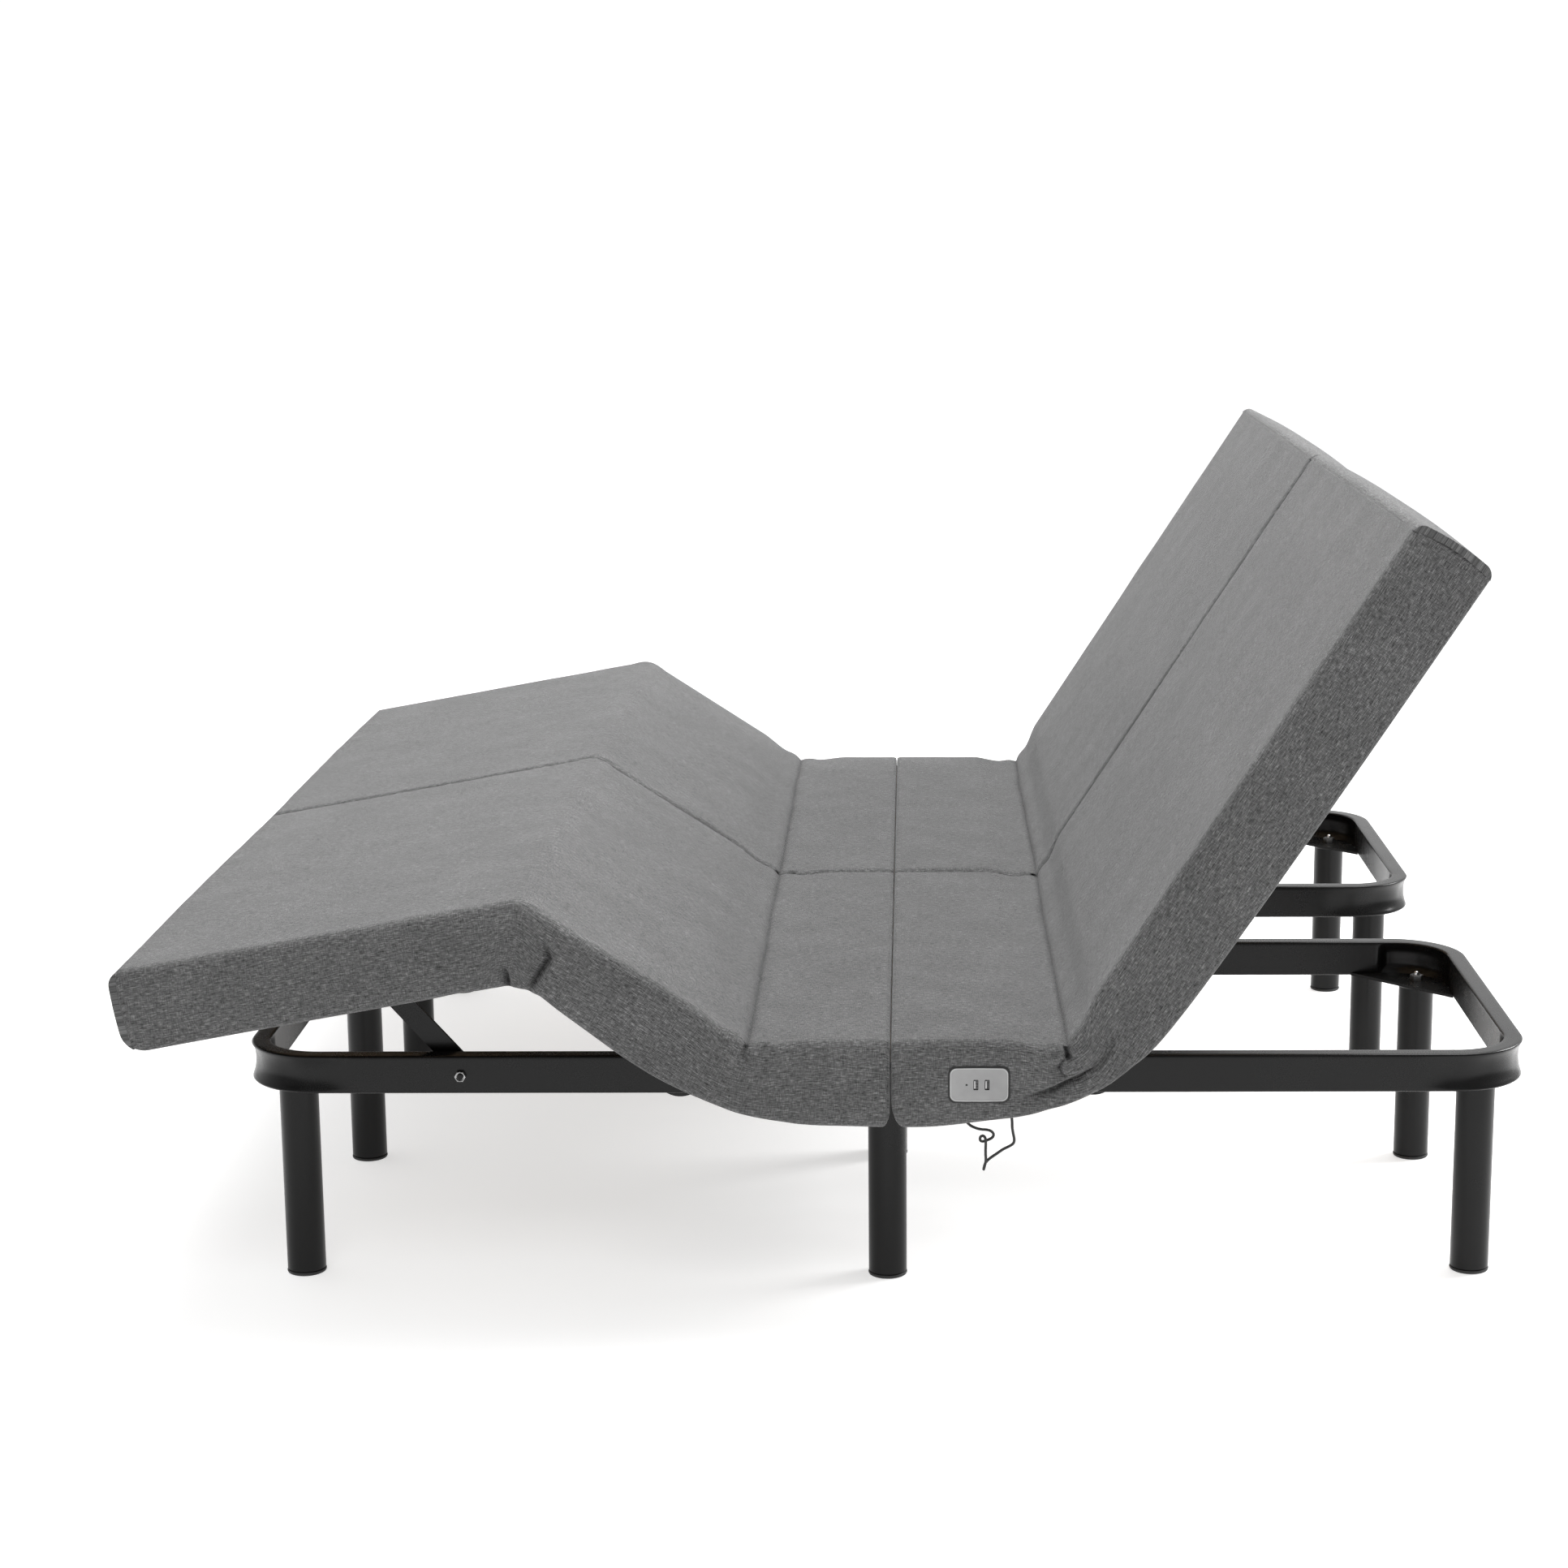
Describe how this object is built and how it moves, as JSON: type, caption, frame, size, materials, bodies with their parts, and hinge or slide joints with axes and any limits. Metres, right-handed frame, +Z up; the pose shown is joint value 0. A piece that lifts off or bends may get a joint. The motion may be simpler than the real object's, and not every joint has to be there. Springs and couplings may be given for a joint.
{
  "type": "adjustable bed base",
  "caption": "Split adjustable bed base: two powered decks in grey fabric with raised backs and knees, on bent tube frames with round legs.",
  "frame": {"origin": "middle of the footprint of both bases, on the floor", "axes": "+X from the foot to the head, +Y across the bed to the right base, +Z up"},
  "size_m": [1.804, 1.908, 1.0269],
  "materials": {
    "frame_black": "satin black powder coat",
    "leg_black": "satin black powder coat",
    "zinc_steel": "bright zinc plate",
    "glide_plastic": "matt",
    "deck_board": "plain plywood",
    "heather_fabric": "grey heather linen weave",
    "panel_silver": "satin silver paint",
    "port_metal": "nickel",
    "control_plastic": "fine moulded grain",
    "lead_rubber": "matt",
    "roller_plastic": "matt",
    "actuator_plastic": "fine moulded grain",
    "rod_steel": "polished"
  },
  "bodies": {
    "frame": {"foot_frame_tubes": "frame_black", "head_frame_tubes": "frame_black", "splice_sleeves": "frame_black", "corner_plates": "frame_black", "legs": "leg_black", "leg_nuts": "zinc_steel", "glides": "glide_plastic", "cross_tubes": "frame_black", "actuator_clevises": "frame_black", "shaft_bearings": "frame_black", "link_bolts": "zinc_steel", "connector_bars": "frame_black", "seat_frames": "frame_black", "seat_boards": "deck_board", "seat_hinge_pins": "zinc_steel", "seat_covers": "heather_fabric", "usb_panels": "panel_silver", "usb_ports": "port_metal", "control_boxes": "control_plastic", "usb_lead": "lead_rubber"},
    "left_thigh": {"left_thigh_frame": "frame_black", "left_thigh_board": "deck_board", "left_thigh_cover": "heather_fabric", "left_knee_pins": "zinc_steel"},
    "left_calf": {"left_calf_frame": "frame_black", "left_calf_board": "deck_board", "left_calf_cover": "heather_fabric"},
    "left_back": {"left_back_frame": "frame_black", "left_back_board": "deck_board", "left_back_cover": "heather_fabric"},
    "left_links": {"left_calf_links": "frame_black"},
    "left_head_lift": {"left_head_lift_arm": "frame_black"},
    "left_head_roller": {"left_head_rollers": "roller_plastic"},
    "left_head_motor": {"left_head_actuator": "actuator_plastic"},
    "left_head_rod": {"left_head_actuator_rod": "rod_steel"},
    "left_foot_lift": {"left_foot_lift_arm": "frame_black"},
    "left_foot_roller": {"left_foot_rollers": "roller_plastic"},
    "left_foot_motor": {"left_foot_actuator": "actuator_plastic"},
    "left_foot_rod": {"left_foot_actuator_rod": "rod_steel"},
    "right_thigh": {"right_thigh_frame": "frame_black", "right_thigh_board": "deck_board", "right_thigh_cover": "heather_fabric", "right_knee_pins": "zinc_steel"},
    "right_calf": {"right_calf_frame": "frame_black", "right_calf_board": "deck_board", "right_calf_cover": "heather_fabric"},
    "right_back": {"right_back_frame": "frame_black", "right_back_board": "deck_board", "right_back_cover": "heather_fabric"},
    "right_links": {"right_calf_links": "frame_black"},
    "right_head_lift": {"right_head_lift_arm": "frame_black"},
    "right_head_roller": {"right_head_rollers": "roller_plastic"},
    "right_head_motor": {"right_head_actuator": "actuator_plastic"},
    "right_head_rod": {"right_head_actuator_rod": "rod_steel"},
    "right_foot_lift": {"right_foot_lift_arm": "frame_black"},
    "right_foot_roller": {"right_foot_rollers": "roller_plastic"},
    "right_foot_motor": {"right_foot_actuator": "actuator_plastic"},
    "right_foot_rod": {"right_foot_actuator_rod": "rod_steel"}
  },
  "joints": [
    {"name": "left_back_hinge", "type": "hinge", "parent": "frame", "child": "left_back", "pos_m": [0.29402, -0.477, 0.3605], "axis": [0, -1, 0], "range_deg": [-57, 3]},
    {"name": "left_thigh_hinge", "type": "hinge", "parent": "frame", "child": "left_thigh", "pos_m": [-0.11798, -0.477, 0.3605], "axis": [0, 1, 0], "range_deg": [-33, 3]},
    {"name": "left_knee_hinge", "type": "hinge", "parent": "left_thigh", "child": "left_calf", "pos_m": [-0.39391, -0.477, 0.53969], "axis": [0, 1, 0], "range_deg": [-4.1, 43.5]},
    {"name": "left_link_pivot", "type": "hinge", "parent": "frame", "child": "left_links", "pos_m": [-0.49468, -0.477, 0.291], "axis": [0, 1, 0], "range_deg": [-45.5, 4.4]},
    {"name": "left_head_lift_shaft", "type": "hinge", "parent": "frame", "child": "left_head_lift", "pos_m": [0.32902, -0.477, 0.291], "axis": [0, -1, 0], "range_deg": [-56.6, 3.2]},
    {"name": "left_foot_lift_shaft", "type": "hinge", "parent": "frame", "child": "left_foot_lift", "pos_m": [-0.21158, -0.477, 0.2896], "axis": [0, 1, 0], "range_deg": [-47.4, 4.5]},
    {"name": "left_head_roller_spin", "type": "hinge", "parent": "left_head_lift", "child": "left_head_roller", "pos_m": [0.49947, -0.477, 0.57357], "axis": [0, -1, 0], "continuous": true},
    {"name": "left_foot_roller_spin", "type": "hinge", "parent": "left_foot_lift", "child": "left_foot_roller", "pos_m": [-0.30563, -0.477, 0.41904], "axis": [0, 1, 0], "continuous": true},
    {"name": "left_head_motor_pivot", "type": "hinge", "parent": "frame", "child": "left_head_motor", "pos_m": [-0.12598, -0.427, 0.222], "axis": [0, -1, 0], "range_deg": [-1.4, 0.1]},
    {"name": "left_foot_motor_pivot", "type": "hinge", "parent": "frame", "child": "left_foot_motor", "pos_m": [0.23902, -0.527, 0.222], "axis": [0, 1, 0], "range_deg": [-1.4, 0.2]},
    {"name": "left_head_rod_slide", "type": "slide", "parent": "left_head_motor", "child": "left_head_rod", "axis": [0.9998, 0, 0.0209], "range_m": [-0.066, 0.004]},
    {"name": "left_foot_rod_slide", "type": "slide", "parent": "left_foot_motor", "child": "left_foot_rod", "axis": [-0.9999, 0, 0.0144], "range_m": [-0.057, 0.0056]},
    {"name": "right_back_hinge", "type": "hinge", "parent": "frame", "child": "right_back", "pos_m": [0.29402, 0.477, 0.3605], "axis": [0, -1, 0], "range_deg": [-57, 3]},
    {"name": "right_thigh_hinge", "type": "hinge", "parent": "frame", "child": "right_thigh", "pos_m": [-0.11798, 0.477, 0.3605], "axis": [0, 1, 0], "range_deg": [-33, 3]},
    {"name": "right_knee_hinge", "type": "hinge", "parent": "right_thigh", "child": "right_calf", "pos_m": [-0.39391, 0.477, 0.53969], "axis": [0, 1, 0], "range_deg": [-4.1, 43.5]},
    {"name": "right_link_pivot", "type": "hinge", "parent": "frame", "child": "right_links", "pos_m": [-0.49468, 0.477, 0.291], "axis": [0, 1, 0], "range_deg": [-45.5, 4.4]},
    {"name": "right_head_lift_shaft", "type": "hinge", "parent": "frame", "child": "right_head_lift", "pos_m": [0.32902, 0.477, 0.291], "axis": [0, -1, 0], "range_deg": [-56.6, 3.2]},
    {"name": "right_foot_lift_shaft", "type": "hinge", "parent": "frame", "child": "right_foot_lift", "pos_m": [-0.21158, 0.477, 0.2896], "axis": [0, 1, 0], "range_deg": [-47.4, 4.5]},
    {"name": "right_head_roller_spin", "type": "hinge", "parent": "right_head_lift", "child": "right_head_roller", "pos_m": [0.49947, 0.477, 0.57357], "axis": [0, -1, 0], "continuous": true},
    {"name": "right_foot_roller_spin", "type": "hinge", "parent": "right_foot_lift", "child": "right_foot_roller", "pos_m": [-0.30563, 0.477, 0.41904], "axis": [0, 1, 0], "continuous": true},
    {"name": "right_head_motor_pivot", "type": "hinge", "parent": "frame", "child": "right_head_motor", "pos_m": [-0.12598, 0.527, 0.222], "axis": [0, -1, 0], "range_deg": [-1.4, 0.1]},
    {"name": "right_foot_motor_pivot", "type": "hinge", "parent": "frame", "child": "right_foot_motor", "pos_m": [0.23902, 0.427, 0.222], "axis": [0, 1, 0], "range_deg": [-1.4, 0.2]},
    {"name": "right_head_rod_slide", "type": "slide", "parent": "right_head_motor", "child": "right_head_rod", "axis": [0.9998, 0, 0.0209], "range_m": [-0.066, 0.004]},
    {"name": "right_foot_rod_slide", "type": "slide", "parent": "right_foot_motor", "child": "right_foot_rod", "axis": [-0.9999, 0, 0.0144], "range_m": [-0.057, 0.0056]}
  ],
  "couplings": [
    {"joint": "left_knee_hinge", "follows": "left_thigh_hinge", "ratio": -1.3103},
    {"joint": "left_link_pivot", "follows": "left_thigh_hinge", "ratio": 1.369},
    {"joint": "left_foot_lift_shaft", "follows": "left_thigh_hinge", "ratio": 1.43},
    {"joint": "left_foot_motor_pivot", "follows": "left_thigh_hinge", "ratio": 0.0375},
    {"joint": "left_foot_rod_slide", "follows": "left_thigh_hinge", "m_per_rad": 0.09683},
    {"joint": "left_head_lift_shaft", "follows": "left_back_hinge", "ratio": 0.99},
    {"joint": "left_head_motor_pivot", "follows": "left_back_hinge", "ratio": 0.0225},
    {"joint": "left_head_rod_slide", "follows": "left_back_hinge", "m_per_rad": 0.065317},
    {"joint": "right_knee_hinge", "follows": "right_thigh_hinge", "ratio": -1.3103},
    {"joint": "right_link_pivot", "follows": "right_thigh_hinge", "ratio": 1.369},
    {"joint": "right_foot_lift_shaft", "follows": "right_thigh_hinge", "ratio": 1.43},
    {"joint": "right_foot_motor_pivot", "follows": "right_thigh_hinge", "ratio": 0.0375},
    {"joint": "right_foot_rod_slide", "follows": "right_thigh_hinge", "m_per_rad": 0.09683},
    {"joint": "right_head_lift_shaft", "follows": "right_back_hinge", "ratio": 0.99},
    {"joint": "right_head_motor_pivot", "follows": "right_back_hinge", "ratio": 0.0225},
    {"joint": "right_head_rod_slide", "follows": "right_back_hinge", "m_per_rad": 0.065317}
  ]
}
